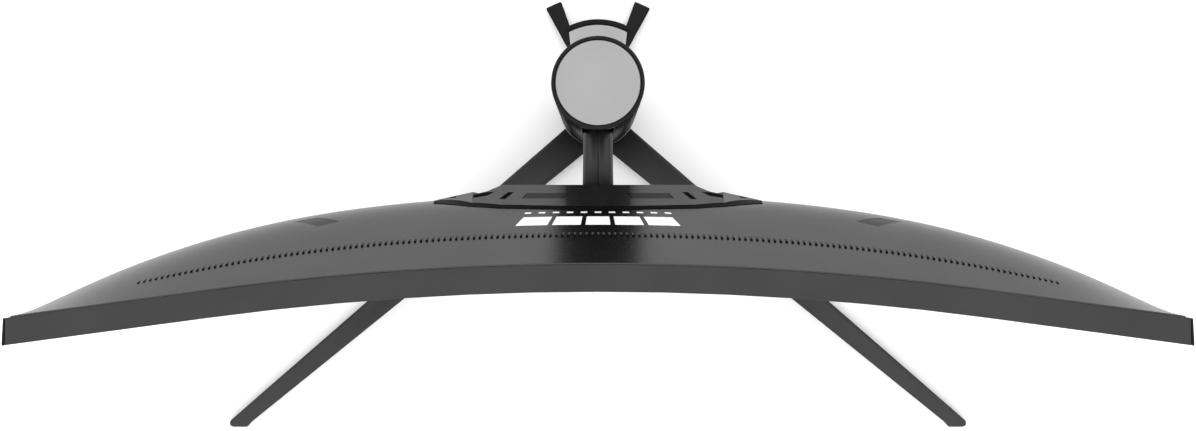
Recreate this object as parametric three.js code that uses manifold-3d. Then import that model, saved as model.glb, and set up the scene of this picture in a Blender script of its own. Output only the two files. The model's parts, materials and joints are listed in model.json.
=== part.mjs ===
// A curved 27-inch computer monitor on a height-adjustable column stand.
// Millimetres, +Z up, +X to the user's right, +Y to the rear (away from the user).
// The origin is on the desk, under the centre of the whole object's bounding box.
import * as THREE from 'three';
import { mergeVertices } from 'three/addons/utils/BufferGeometryUtils.js';
import { ConvexGeometry } from 'three/addons/geometries/ConvexGeometry.js';
import Module from 'manifold-3d';

const wasm = await Module();
wasm.setup();

// ---------------------------------------------------------------- driving dimensions
const GAP = 0.3; // clearance between neighbouring pieces
const FINE = 48; // sides of a large round piece
const COARSE = 24; // sides of a small round piece

// Head: the screen's curve is a 1500 mm arc that runs out into straight, tangent ends.
const CURVE_RADIUS = 1500;
const ARC_HALF = 200; // half the width of the arc part
const HEAD_HALF = 306;
const HEAD_BOTTOM = 116;
const HEAD_TOP = 480;
const FRONT_Y = -39.2; // front edge of the frame at the centre
const FRAME_DEPTH = 14.1;
const FRAME_WALL = 2;
const TRIM_WIDTH = 1.3; // black trims on the two ends
const ACTIVE_HALF = 299.6; // window in the front bezel
const ACTIVE_BOTTOM = 136;
const ACTIVE_TOP = 473;

// Rear cover: a shallow bowl that rises from the frame's rear edge.
const COVER_HALF = 301.5;
const COVER_EDGE = 0.2; // set back from the frame's top and bottom
const COVER_RIM = 0.7; // height of the cover's own edge
const COVER_BULGE = 36;
const COVER_POWER = 3.6; // how late the bulge falls off towards the ends
const COVER_WALL = 2.4;
const TOP_SLOPE = 90; // height over which the top rises to full depth
const BOTTOM_SLOPE = 60;

// Raised housing on the middle of the cover.
const HOUSING_Y = 16.3;
const HOUSING_HALF = 51;
const HOUSING_TOP = 413;
const HOUSING_CROWN = 4.4; // how much lower its top edge is at the two ends
const HOUSING_BOTTOM = 212;
const HOUSING_WALL = 2.2;
// The wings' upright sections on the right: [x, rear y, top z, bottom z].
const WING_ROOT = [HOUSING_HALF, HOUSING_Y, HOUSING_TOP - HOUSING_CROWN, HOUSING_BOTTOM];
const WING_KNEE = [59, 12.9, 409, 213];
const WING_STEP_INNER = [66.7, 11.2, 408, 215];
const WING_STEP_OUTER = [66.7, 12.5, 407, 215];
const WING_TIP = [86, 8.5, 391, 232];
const SLOT_COUNT = 14; // slanted slots on each side of the housing's top wall
const SLOT_FIRST = 17;
const SLOT_PITCH = 1.65;

// Tilt hinge and arm.
const PIVOT_Y = 2;
const PIVOT_Z = 301;
const PIN_R = 4;
const PIN_BORE = PIN_R + 0.1;
const ARM_HALF_HEAD = 8.6;
const ARM_HALF_COLUMN = 8.05;
const ARM_BOTTOM = 275;
const ARM_TOP = 327;

// Column.
const COLUMN_Y = 68.7;
const COLUMN_R = 24.3;
const COLUMN_WALL = 2.2;
const COLUMN_TOP = 464;
const SHELL_BOTTOM = 20.3;
const SHELL_TOP = 458;
const SLOT_HALF = 8.6; // slot for the arm in the column's front
const SLOT_BOTTOM = 183;
const SLOT_TOP = 440;
const SPINE_HALF = 14.8;
const SPINE_WALL = 2;
const CAP_RIM = 1.8; // black ring round the cap's disc
const CAP_FLOOR = COLUMN_TOP - 3.5; // underside of the cap's disc

// Base.
const BASE_BOTTOM = 3;
const BASE_TOP = 14;
const FOOT_BOTTOM = BASE_TOP + 0.4;
const EAR_Y = 71; // where the two rear legs' sides meet
const EAR_INNER = 19.8; // degrees from +Y
const EAR_OUTER = 28.6;
const TAIL_CENTRE_Y = 83; // centre of the tail's round edge

// Connector bay under the housing.
const BAY_HALF = 120;
const BAY_BOTTOM = 128;
const BAY_TOP = 190;
const BAY_FLOOR_Y = -22;
const PORT_Y = -8; // middle of the row of connectors

// Control stick and stand release.
const STICK_X = 150;
const STICK_Z = 186;
const STICK_PIVOT_Y = -12.6;
const STICK_CAP_Y = -3.2; // the cap's inner end; its outer end stays inside the round hole in the cover
const RELEASE_Z = 242;

// Counterbalance spring drum.
const DRUM_Y = COLUMN_Y + 2;
const DRUM_Z = 447;
const DRUM_R = 8;

// ---------------------------------------------------------------- solids
function toSolid(geometry) {
  const bare = geometry.clone();
  bare.deleteAttribute('normal');
  bare.deleteAttribute('uv');
  const merged = mergeVertices(bare, 1e-4);
  const vertProperties = new Float32Array(merged.attributes.position.array);
  const triVerts = new Uint32Array(merged.index.array);
  return new wasm.Manifold(new wasm.Mesh({ numProp: 3, vertProperties, triVerts }));
}

function toGeometry(solid) {
  const mesh = solid.getMesh();
  const geometry = new THREE.BufferGeometry();
  geometry.setAttribute('position', new THREE.BufferAttribute(mesh.vertProperties, 3));
  geometry.setIndex(new THREE.BufferAttribute(mesh.triVerts, 1));
  return geometry;
}

function cut(geometry, ...tools) {
  return toGeometry(tools.reduce((solid, tool) => solid.subtract(toSolid(tool)), toSolid(geometry)));
}

function join(geometry, ...others) {
  return toGeometry(others.reduce((solid, other) => solid.add(toSolid(other)), toSolid(geometry)));
}

function box(x0, x1, y0, y1, z0, z1) {
  const geometry = new THREE.BoxGeometry(x1 - x0, y1 - y0, z1 - z0);
  return geometry.translate((x0 + x1) / 2, (y0 + y1) / 2, (z0 + z1) / 2);
}

// A block centred on x = 0.
function block(half, y0, y1, z0, z1) {
  return box(-half, half, y0, y1, z0, z1);
}

// An outline in the XY plane, raised from z0 to z1.
function prism(outline, z0, z1) {
  const shape = new THREE.Shape(outline.map(([x, y]) => new THREE.Vector2(x, y)));
  return new THREE.ExtrudeGeometry(shape, { depth: z1 - z0, bevelEnabled: false }).translate(0, 0, z0);
}

function diskZ(r, z0, z1, x, y, sides = COARSE) {
  const geometry = new THREE.CylinderGeometry(r, r, z1 - z0, sides).rotateX(Math.PI / 2);
  return geometry.translate(x, y, (z0 + z1) / 2);
}

function diskX(r, x0, x1, y, z, sides = COARSE) {
  const geometry = new THREE.CylinderGeometry(r, r, x1 - x0, sides).rotateZ(Math.PI / 2);
  return geometry.translate((x0 + x1) / 2, y, z);
}

function diskY(r, y0, y1, x, z, sides = COARSE) {
  const geometry = new THREE.CylinderGeometry(r, r, y1 - y0, sides);
  return geometry.translate(x, (y0 + y1) / 2, z);
}

// A profile of [radius, height] points turned about Y.
function turned(profile, sides) {
  return new THREE.LatheGeometry(profile.map(([r, h]) => new THREE.Vector2(r, h)), sides);
}

function turnedZ(profile, x, y, sides = FINE) {
  return turned(profile, sides).rotateX(Math.PI / 2).translate(x, y, 0);
}

function turnedX(profile, y, z, sides = COARSE) {
  return turned(profile, sides).rotateZ(-Math.PI / 2).translate(0, y, z);
}

function hull(points) {
  return new ConvexGeometry(points.map(([x, y, z]) => new THREE.Vector3(x, y, z)));
}

function mirrorX(points) {
  return points.map(([x, ...rest]) => [-x, ...rest]);
}

function steps(from, to, count) {
  return Array.from({ length: count + 1 }, (_, i) => from + ((to - from) * i) / count);
}

function arcPoints(x, y, r, fromDegrees, toDegrees, count) {
  return steps(fromDegrees, toDegrees, count).map((degrees) => {
    const a = THREE.MathUtils.degToRad(degrees);
    return [x + r * Math.cos(a), y + r * Math.sin(a)];
  });
}

// ---------------------------------------------------------------- the screen's curve
// How far the curve has come forward of its centre at x.
function sag(x) {
  const inner = Math.min(Math.abs(x), ARC_HALF);
  const drop = CURVE_RADIUS - Math.sqrt(CURVE_RADIUS ** 2 - inner ** 2);
  const slope = ARC_HALF / Math.sqrt(CURVE_RADIUS ** 2 - ARC_HALF ** 2);
  return drop + slope * (Math.abs(x) - inner);
}

// y of the surface that lies `depth` behind the frame's front edge.
function layerY(x, depth) {
  return FRONT_Y - sag(x) + depth;
}

function curveStations(half) {
  return [-half, ...steps(-ARC_HALF, ARC_HALF, 12), half];
}

// A curved sheet between two depths and two heights.
function slab(half, depth0, depth1, z0, z1) {
  const xs = curveStations(half);
  const front = xs.map((x) => [x, layerY(x, depth0)]);
  const back = xs.map((x) => [x, layerY(x, depth1)]).reverse();
  return prism([...front, ...back], z0, z1);
}

// ---------------------------------------------------------------- rear cover surface
function coverRise(z) {
  const top = (HEAD_TOP - z) / TOP_SLOPE;
  const bottom = (z - HEAD_BOTTOM) / BOTTOM_SLOPE;
  return Math.sin((Math.PI / 2) * Math.min(1, top, bottom));
}

function coverY(x, z) {
  const fall = 1 - (Math.abs(x) / COVER_HALF) ** COVER_POWER;
  return layerY(x, FRAME_DEPTH) + COVER_RIM + (COVER_BULGE - COVER_RIM) * fall * coverRise(z);
}

const COVER_X = [...steps(0, 200, 5), 228, 252, 272, 288, 298, COVER_HALF];
const COVER_Z = [
  ...steps(HEAD_BOTTOM + COVER_EDGE, HEAD_BOTTOM + BOTTOM_SLOPE, 5),
  ...steps(HEAD_TOP - TOP_SLOPE, HEAD_TOP - COVER_EDGE, 7),
];

// A closed sheet between two surfaces y = inner(x, z) and y = outer(x, z) over one grid.
function sheet(inner, outer, xs, zs) {
  const columns = zs.length;
  const count = xs.length * columns;
  const positions = [];
  for (const surface of [inner, outer]) {
    for (const x of xs) {
      zs.forEach((z) => positions.push(x, surface(x, z), z));
    }
  }
  const index = [];
  const quad = (a, b, c, d) => index.push(a, b, c, a, c, d);
  const at = (i, j) => i * columns + j;
  for (let i = 0; i + 1 < xs.length; i += 1) {
    for (let j = 0; j + 1 < columns; j += 1) {
      quad(at(i, j), at(i + 1, j), at(i + 1, j + 1), at(i, j + 1));
      quad(count + at(i, j), count + at(i, j + 1), count + at(i + 1, j + 1), count + at(i + 1, j));
    }
  }
  const lastX = xs.length - 1;
  const lastZ = columns - 1;
  for (let i = 0; i < lastX; i += 1) {
    quad(at(i, 0), count + at(i, 0), count + at(i + 1, 0), at(i + 1, 0));
    quad(at(i, lastZ), at(i + 1, lastZ), count + at(i + 1, lastZ), count + at(i, lastZ));
  }
  for (let j = 0; j < lastZ; j += 1) {
    quad(at(0, j), at(0, j + 1), count + at(0, j + 1), count + at(0, j));
    quad(at(lastX, j), count + at(lastX, j), count + at(lastX, j + 1), at(lastX, j + 1));
  }
  const geometry = new THREE.BufferGeometry();
  geometry.setAttribute('position', new THREE.BufferAttribute(new Float32Array(positions), 3));
  geometry.setIndex(index);
  return geometry;
}

const bothSides = (values) => [...values.slice(1).reverse().map((v) => -v), ...values];

// Everything in front of the cover's outer face, grown by the running gap.
function coverSpace() {
  const floor = (x) => layerY(x, 0);
  const roof = (x, z) => coverY(x, z) + GAP;
  return sheet(floor, roof, bothSides(COVER_X), COVER_Z);
}

// ---------------------------------------------------------------- finishes and assembly
const FINISH = {
  frame: [0x4c4c4c, 0.5, 0.0],
  shell: [0x565656, 0.42, 0.0],
  housing: [0x484848, 0.45, 0.0],
  black: [0x141414, 0.4, 0.0],
  glass: [0x0a0a0b, 0.25, 0.0],
  sheet: [0xe8e8e6, 0.7, 0.0],
  acrylic: [0xdfe6ea, 0.15, 0.0],
  steel: [0x9a9c9f, 0.4, 0.9],
  board: [0x1f4a32, 0.6, 0.0],
  bright: [0xb7b7b7, 0.38, 0.9],
  casting: [0x424242, 0.5, 0.1],
  rubber: [0x1c1c1c, 0.9, 0.0],
  nylon: [0xcfcdc4, 0.6, 0.0],
};

const monitor = new THREE.Group();

function add(name, finish, geometry) {
  const [color, roughness, metalness] = FINISH[finish];
  const mesh = new THREE.Mesh(geometry, new THREE.MeshStandardMaterial({ color, roughness, metalness }));
  mesh.name = name;
  monitor.add(mesh);
}

// ---------------------------------------------------------------- display stack
const FRAME_HALF = HEAD_HALF - TRIM_WIDTH - GAP;
const CAVITY_HALF = FRAME_HALF - FRAME_WALL;
const CAVITY_BOTTOM = HEAD_BOTTOM + FRAME_WALL;
const CAVITY_TOP = HEAD_TOP - FRAME_WALL;

function addDisplay() {
  add('mid_frame', 'frame', cut(
    slab(FRAME_HALF, 0, FRAME_DEPTH, HEAD_BOTTOM, HEAD_TOP),
    slab(CAVITY_HALF, -5, FRAME_DEPTH + 5, CAVITY_BOTTOM, CAVITY_TOP),
  ));
  for (const [name, side] of [['side_trim_left', -1], ['side_trim_right', 1]]) {
    const inner = side * (FRAME_HALF + GAP);
    const outline = [
      [inner, layerY(inner, 0)],
      [side * (HEAD_HALF - 0.2), layerY(HEAD_HALF, 0)],
      [side * HEAD_HALF, layerY(HEAD_HALF, 1)],
      [side * (HEAD_HALF - 0.7), layerY(HEAD_HALF, FRAME_DEPTH)],
      [inner, layerY(inner, FRAME_DEPTH)],
    ];
    add(name, 'black', prism(side > 0 ? outline : outline.reverse(), HEAD_BOTTOM, HEAD_TOP));
  }
  const half = CAVITY_HALF - GAP;
  const bottom = CAVITY_BOTTOM + GAP;
  const top = CAVITY_TOP - GAP;
  const chinTop = ACTIVE_BOTTOM - 1;
  // Depths behind the frame's front edge, from the front to the rear.
  const bezel = [0.5, 2];
  const panel = [2.3, 3.7];
  const diffuser = [4, 4.6];
  const guide = [4.9, 7.4];
  const pan = [7.7, 8.9];
  const lip = 1.2;
  add('front_bezel', 'black', cut(
    slab(half, ...bezel, chinTop + GAP, top),
    slab(ACTIVE_HALF, -2, 5, chinTop - 5, ACTIVE_TOP),
  ));
  add('bottom_bezel', 'frame', slab(half, 0.2, bezel[1], bottom, chinTop));
  add('lcd_panel', 'glass', slab(half - 0.6, ...panel, bottom + 4, top));
  add('diffuser_sheet', 'sheet', slab(half - 1, ...diffuser, bottom + 8, top - 0.5));
  add('light_guide', 'acrylic', slab(half - 1, ...guide, bottom + 8, top - 0.5));
  add('led_strip', 'nylon', slab(half - 4, ...guide, bottom + 3, bottom + 7.5));
  add('backlight_pan', 'steel', join(
    slab(half - 1, ...pan, bottom, top),
    slab(half - 1, panel[0], pan[0] + GAP, bottom, bottom + lip),
  ));
}

// ---------------------------------------------------------------- covers
function addCovers() {
  const inner = (x, z) => Math.max(layerY(x, FRAME_DEPTH) + GAP, coverY(x, z) - COVER_WALL);
  add('rear_cover', 'shell', cut(
    sheet(inner, coverY, bothSides(COVER_X), COVER_Z),
    block(44, -20, 20, 222, 402),
    block(BAY_HALF, -20, 20, BAY_BOTTOM, BAY_TOP),
    diskY(8.5, -10, 10, STICK_X, STICK_Z),
  ));
  add('housing_cover', 'housing', housingCover());
  add('connector_bay', 'black', cut(
    block(BAY_HALF + 2, BAY_FLOOR_Y - 2, 0.8, BAY_BOTTOM - 3, BAY_TOP),
    block(BAY_HALF, BAY_FLOOR_Y, 20, BAY_BOTTOM, BAY_TOP + 5),
    cut(block(BAY_HALF + 10, -30, 30, 100, 250), bayLimit()),
  ));
}

// The space just inside the cover, which the bay's walls may fill.
function bayLimit() {
  const limit = (x, z) => Math.max(layerY(x, FRAME_DEPTH) + GAP, coverY(x, z) - COVER_WALL) - GAP;
  return sheet((x) => layerY(x, -40), limit, bothSides(COVER_X), COVER_Z);
}

// The solid between two upright sections. The top and bottom walls slope at 45 degrees.
function slice(from, to) {
  const section = ([x, y, top, bottom]) => [[x, y, top], [x, y, bottom], [x, 0, top + y], [x, 0, bottom - y]];
  return hull([...section(from), ...section(to)]);
}

function housingCover() {
  const body = steps(-HOUSING_HALF, HOUSING_HALF, 6).flatMap((x) => {
    const top = HOUSING_TOP - HOUSING_CROWN * (x / HOUSING_HALF) ** 2;
    return [
      [x, HOUSING_Y, top],
      [x, 0, top + HOUSING_Y],
      [x, HOUSING_Y, HOUSING_BOTTOM],
      [x, 0, HOUSING_BOTTOM - HOUSING_Y],
    ];
  });
  const wings = [-1, 1].flatMap((side) => {
    const at = ([x, ...rest]) => [side * x, ...rest];
    return [
      slice(at(WING_ROOT), at(WING_KNEE)),
      slice(at(WING_KNEE), at(WING_STEP_INNER)),
      slice(at(WING_STEP_OUTER), at(WING_TIP)),
    ];
  });
  const hollowHalf = HOUSING_HALF - 3.5;
  const hollowBack = HOUSING_Y - HOUSING_WALL;
  const hollowFront = -6;
  // y + z on the hollow's sloping top face
  const slope = HOUSING_TOP - HOUSING_CROWN + HOUSING_Y - HOUSING_WALL * Math.SQRT2;
  const hollow = [
    [hollowHalf, hollowBack, slope - hollowBack],
    [hollowHalf, hollowBack, HOUSING_BOTTOM + HOUSING_WALL],
    [hollowHalf, hollowFront, slope - hollowFront],
    [hollowHalf, hollowFront, HOUSING_BOTTOM - 18],
  ];
  return cut(
    join(hull(body), ...wings),
    coverSpace(),
    hull([...hollow, ...mirrorX(hollow)]),
    block(10.8, -10, 30, PIVOT_Z - 35, PIVOT_Z + 35),
    block(9.5, -10, 30, RELEASE_Z - 6, RELEASE_Z + 6),
    ...[-1, 1].flatMap(housingSlots),
  );
}

// Slanted slots and one slanted recess in the housing's sloping top wall, on one side.
function housingSlots(side) {
  const slotBottom = 405;
  const recessBottom = 408;
  const above = HOUSING_TOP + 20;
  const slanted = (x, half, lean, y0, y1, bottom) => {
    const outline = [
      [x + lean - half, y0], [x + lean + half, y0], [x - lean + half, y1], [x - lean - half, y1],
    ];
    return prism(outline.map(([px, py]) => [side * px, py]), bottom, above);
  };
  const slots = Array.from({ length: SLOT_COUNT }, (_, i) => (
    slanted(SLOT_FIRST + i * SLOT_PITCH, 0.45, 1.4, 9, 11.9, slotBottom)));
  return [...slots, slanted(48.5, 1.6, 2.4, 8.7, 12.4, recessBottom)];
}

// ---------------------------------------------------------------- steelwork and hinge in the head
function addHinge() {
  const bracketBack = -27.9;
  const plateFront = bracketBack + GAP;
  const plateBack = plateFront + 3;
  add('mount_bracket', 'steel', cut(
    block(110, bracketBack - 2, bracketBack, PIVOT_Z - 65, PIVOT_Z + 65),
    ...[-1, 1].map((side) => diskY(20, bracketBack - 10, bracketBack + 10, side * 78, PIVOT_Z)),
  ));
  const earInner = 12.3;
  const earOuter = 15.3;
  const ear = (side) => {
    const x0 = Math.min(side * earInner, side * earOuter);
    const x1 = Math.max(side * earInner, side * earOuter);
    return join(
      box(x0, x1, plateBack - 0.4, PIVOT_Y, PIVOT_Z - 13, PIVOT_Z + 13),
      diskX(9, x0, x1, PIVOT_Y, PIVOT_Z),
    );
  };
  add('mount_plate', 'steel', cut(
    join(block(40, plateFront, plateBack, PIVOT_Z - 39, PIVOT_Z + 41), ear(-1), ear(1)),
    diskX(PIN_BORE, -20, 20, PIVOT_Y, PIVOT_Z, FINE),
  ));
  const headInner = earOuter + GAP;
  const headOuter = headInner + 2;
  add('tilt_pin', 'steel', turnedX([
    [0, -headOuter], [6, -headOuter], [6, -headInner], [PIN_R, -headInner],
    [PIN_R, headInner], [6, headInner], [6, headOuter], [0, headOuter],
  ], PIVOT_Y, PIVOT_Z, FINE));
  const washerInner = 8.3;
  const washerOuter = earInner - GAP;
  for (const [name, x0, x1] of [
    ['friction_washer_left', -washerOuter, -washerInner],
    ['friction_washer_right', washerInner, washerOuter],
  ]) {
    const profile = [[PIN_BORE, x0], [8, x0], [8, x1], [PIN_BORE, x1], [PIN_BORE, x0]];
    add(name, 'bright', turnedX(profile, PIVOT_Y, PIVOT_Z, FINE));
  }
}

// ---------------------------------------------------------------- electronics
const BOARD_FACE = -24; // rear face of the two circuit boards
const BOARD_THICKNESS = 1.6;
const SOCKET_FACE = BAY_TOP - 1; // the sockets' mouths, which open downwards

// A component standing on a board, sunk a little into it so that the two are one solid.
function component(x0, x1, height, z0, z1) {
  return box(x0, x1, BOARD_FACE - 0.5, BOARD_FACE + height, z0, z1);
}

function addBoards() {
  const top = 300;
  const bottom = BAY_TOP + 2;
  const face = BOARD_FACE - BOARD_THICKNESS;
  add('main_board', 'board', join(
    box(52, 132, face, BOARD_FACE, bottom, top),
    component(80, 104, 9, 240, 264),
    component(60, 72, 7, 214, 230),
    component(110, 126, 5, 220, 236),
  ));
  add('power_board', 'board', join(
    box(-140, -52, face, BOARD_FACE, bottom, top),
    component(-104, -72, 22, 232, 262),
    component(-98, -94, 21, 211, 229),
    diskY(7, BOARD_FACE - 0.5, BOARD_FACE + 20, -124, 246),
    diskY(7, BOARD_FACE - 0.5, BOARD_FACE + 20, -124, 266),
  ));
}

// A block round (x, PORT_Y) with the given half sizes, from z0 to z1.
function portBlock(x, halfX, halfY, z0, z1) {
  return box(x - halfX, x + halfX, PORT_Y - halfY, PORT_Y + halfY, z0, z1);
}

function addPorts() {
  const shell = 0.8;
  const wells = [];
  const well = (x, halfX, halfY) => {
    wells.push(portBlock(x, halfX + GAP, halfY + GAP, BAY_TOP - 5, BAY_TOP + 5));
  };
  for (const [name, x, halfX, halfY] of [
    ['hdmi_port_a', 62, 7.2, 2.3],
    ['hdmi_port_b', 84, 7.2, 2.3],
    ['display_port', 41, 8.2, 2.45],
  ]) {
    add(name, 'bright', cut(
      portBlock(x, halfX + shell, halfY + shell, SOCKET_FACE, SOCKET_FACE + 12),
      portBlock(x, halfX, halfY, SOCKET_FACE - 4, SOCKET_FACE + 10.5),
    ));
    well(x, halfX + shell, halfY + shell);
  }
  const jackX = 104;
  const jackHalf = 4;
  add('audio_jack', 'black', cut(
    portBlock(jackX, jackHalf, jackHalf, SOCKET_FACE, SOCKET_FACE + 12),
    diskZ(1.8, SOCKET_FACE - 4, SOCKET_FACE + 10, jackX, PORT_Y),
  ));
  well(jackX, jackHalf, jackHalf);
  const inletX = -88;
  const inletWall = 1.7;
  const [inletHalfX, inletHalfY] = [14, 10];
  const blade = (dx) => (
    box(inletX + dx - 1, inletX + dx + 1, PORT_Y - 5, PORT_Y - 1, BAY_TOP + 3, BAY_TOP + 16));
  add('power_inlet', 'black', join(
    cut(
      portBlock(inletX, inletHalfX, inletHalfY, SOCKET_FACE, BAY_TOP + 18),
      portBlock(inletX, inletHalfX - inletWall, inletHalfY - inletWall, SOCKET_FACE - 4, BAY_TOP + 14),
    ),
    ...[-7, 0, 7].map(blade),
  ));
  well(inletX, inletHalfX, inletHalfY);
  add('port_plate', 'black', cut(
    block(BAY_HALF - 1, BAY_FLOOR_Y + GAP, 0.8, BAY_TOP + GAP, BAY_TOP + 1.5),
    ...wells,
  ));
}

function addSpeakers() {
  for (const [name, side] of [['speaker_left', -1], ['speaker_right', 1]]) {
    const x = side * 206;
    add(name, 'black', join(
      box(x - 22, x + 22, -40.6, -34.5, 142, 176),
      diskY(13, -35, -32.4, side * 203, 160),
    ));
  }
}

// ---------------------------------------------------------------- control stick and release
function addControls() {
  const baseHalf = 8;
  add('stick_base', 'black', box(STICK_X - baseHalf, STICK_X + baseHalf, -24, -15, STICK_Z - baseHalf,
    STICK_Z + baseHalf));
  add('stick_gimbal', 'nylon', cut(
    diskY(7, STICK_PIVOT_Y - 1, STICK_PIVOT_Y + 1, STICK_X, STICK_Z),
    diskY(4.7, -20, 0, STICK_X, STICK_Z),
  ));
  add('stick_stem', 'nylon', join(
    diskY(4.2, STICK_PIVOT_Y - 0.8, STICK_PIVOT_Y + 0.8, STICK_X, STICK_Z),
    diskY(2, STICK_PIVOT_Y, STICK_CAP_Y - 1, STICK_X, STICK_Z),
  ));
  const capProfile = [[0, 0], [4.2, 0], [5.5, 1], [5.5, 3.8], [4.6, 5], [2.5, 5], [0, 4.5]];
  add('stick_cap', 'black', turned(capProfile, COARSE).translate(STICK_X, STICK_CAP_Y, STICK_Z));
  add('release_button', 'black', join(
    block(9, HOUSING_Y - 4.3, HOUSING_Y + 1.2, RELEASE_Z - 5.5, RELEASE_Z + 5.5),
    block(3, -9, HOUSING_Y - 3.8, RELEASE_Z - 2, RELEASE_Z + 2),
  ));
  add('release_latch', 'steel', join(
    block(12, -27.5, -20, RELEASE_Z - 2, RELEASE_Z + 19.6),
    block(4, -20.5, -13, RELEASE_Z - 2, RELEASE_Z + 6),
  ));
}

// ---------------------------------------------------------------- arm and lift carriage
// Half of the arm's section, from the seam outwards, with rounded top and bottom edges.
function armHalf(y, half, side) {
  const radius = 5;
  const x = half - radius;
  const top = arcPoints(x, ARM_TOP - radius, radius, 90, 0, 4);
  const bottom = arcPoints(x, ARM_BOTTOM + radius, radius, 0, -90, 4);
  const seam = GAP / 2;
  const outline = [[seam, ARM_TOP], ...top, ...bottom, [seam, ARM_BOTTOM]];
  return outline.map(([px, pz]) => [side * px, y, pz]);
}

const ARM_FRONT = 10.9;
const ARM_REAR = 47;
const CORE_REAR = 57.5;
const CORE_BOTTOM = 285;
const CORE_TOP = 317;

function addArm() {
  const carriageRear = COLUMN_Y + 9;
  const coreSpace = block(3 + GAP, 0, 70, CORE_BOTTOM - GAP, CORE_TOP + GAP);
  for (const [name, side] of [['arm_shell_left', -1], ['arm_shell_right', 1]]) {
    const ends = [...armHalf(ARM_FRONT, ARM_HALF_HEAD, side), ...armHalf(ARM_REAR, ARM_HALF_COLUMN, side)];
    add(name, 'frame', cut(hull(ends), coreSpace));
  }
  add('arm_core', 'steel', cut(
    join(block(3, PIVOT_Y, CORE_REAR, CORE_BOTTOM, CORE_TOP), diskX(8.5, -8, 8, PIVOT_Y, PIVOT_Z)),
    diskX(PIN_BORE, -20, 20, PIVOT_Y, PIVOT_Z, FINE),
  ));
  add('lift_carriage', 'casting', cut(
    block(11, COLUMN_Y - 19, carriageRear, 281, 321),
    block(3 + GAP, 40, CORE_REAR + GAP, CORE_BOTTOM - GAP, CORE_TOP + GAP),
  ));
  add('glide_left', 'nylon', box(-12.7, -11.3, COLUMN_Y - 5, carriageRear, 283, 319));
  add('glide_right', 'nylon', box(11.3, 12.7, COLUMN_Y - 5, carriageRear, 283, 319));
}

// ---------------------------------------------------------------- column
// Part of the column's wall between two angles, measured from +X.
function wall(fromDegrees, toDegrees, count) {
  const outer = arcPoints(0, COLUMN_Y, COLUMN_R, fromDegrees, toDegrees, count);
  const inner = arcPoints(0, COLUMN_Y, COLUMN_R - COLUMN_WALL, toDegrees, fromDegrees, count);
  return prism([...outer, ...inner], SHELL_BOTTOM, SHELL_TOP);
}

function addColumn() {
  const seam = 0.35; // half the seam's angle, in degrees
  add('column_front', 'frame', cut(wall(225 + seam, 315 - seam, 12),
    block(SLOT_HALF, 30, 60, SLOT_BOTTOM, SLOT_TOP)));
  add('column_rear', 'frame', wall(-45 + seam, 225 - seam, 36));
  const spineFront = COLUMN_Y - 7;
  const spineRear = COLUMN_Y + 15.8;
  const spineTop = SHELL_TOP - 2;
  add('column_spine', 'steel', cut(
    block(SPINE_HALF, spineFront, spineRear, 34.3, spineTop),
    block(SPINE_HALF - SPINE_WALL, spineFront - 10, spineRear - SPINE_WALL, 30, spineTop + 5),
    diskX(2.1, -20, 20, DRUM_Y, DRUM_Z),
  ));
  add('spring_drum', 'bright', turnedX([
    [0, -14.5], [2, -14.5], [2, -9], [DRUM_R, -9], [DRUM_R, 9], [2, 9], [2, 14.5], [0, 14.5],
  ], DRUM_Y, DRUM_Z));
  const stripFront = DRUM_Y + DRUM_R + GAP;
  add('spring_strip', 'steel', block(8, stripFront, stripFront + 0.6, 290, DRUM_Z));
  const rimInner = COLUMN_R - CAP_RIM;
  add('column_cap_ring', 'black', turnedZ([
    [18, SHELL_TOP + GAP], [COLUMN_R, SHELL_TOP + GAP], [COLUMN_R, COLUMN_TOP - 0.4],
    [COLUMN_R - 0.4, COLUMN_TOP], [rimInner, COLUMN_TOP], [rimInner, CAP_FLOOR - GAP], [18, CAP_FLOOR - GAP],
    [18, SHELL_TOP + GAP],
  ], 0, COLUMN_Y));
  const discR = rimInner - GAP;
  add('column_cap', 'bright', turnedZ([
    [0, CAP_FLOOR], [discR, CAP_FLOOR], [discR, COLUMN_TOP - 0.6], [discR - 0.4, COLUMN_TOP - 0.2],
    [0, COLUMN_TOP - 0.2],
  ], 0, COLUMN_Y));
  const footR = COLUMN_R - COLUMN_WALL - GAP;
  const footTop = 34;
  add('column_foot', 'casting', turnedZ([
    [3.3, FOOT_BOTTOM], [COLUMN_R, FOOT_BOTTOM], [COLUMN_R, 20], [footR, 20],
    [footR, footTop], [3.3, footTop], [3.3, FOOT_BOTTOM],
  ], 0, COLUMN_Y));
}

// ---------------------------------------------------------------- base
// One front leg: a bar that narrows towards a tip rounded on its outer corner.
const LEG = [
  [-0.2, 71], [-17.1, 58.5], [-233.6, -130.2], [-234.2, -131.6], [-234, -133], [-233.2, -134],
  [-231.7, -134.4], [-223.4, -134.4], [-220.8, -131.5], [-0.2, 46.7],
];
const LEG_PAD = [-221.2, -124.6];
const EAR_PAD_RADIUS = 61;
const PAD_R = 4.2;
const WASHER_R = 21.5;

// A rear leg: a wedge from the hub's middle, whose top rolls down at its end.
const EAR_END = [[66.5, BASE_TOP], [68.2, 13.1], [69.1, 11.8], [69.5, 10], [69.5, BASE_BOTTOM]];

function ear(side) {
  const edge = (degrees) => {
    const a = THREE.MathUtils.degToRad(degrees);
    return EAR_END.map(([r, z]) => [side * r * Math.sin(a), EAR_Y + r * Math.cos(a), z]);
  };
  return hull([[0, EAR_Y, BASE_BOTTOM], [0, EAR_Y, BASE_TOP], ...edge(EAR_INNER), ...edge(EAR_OUTER)]);
}

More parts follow.
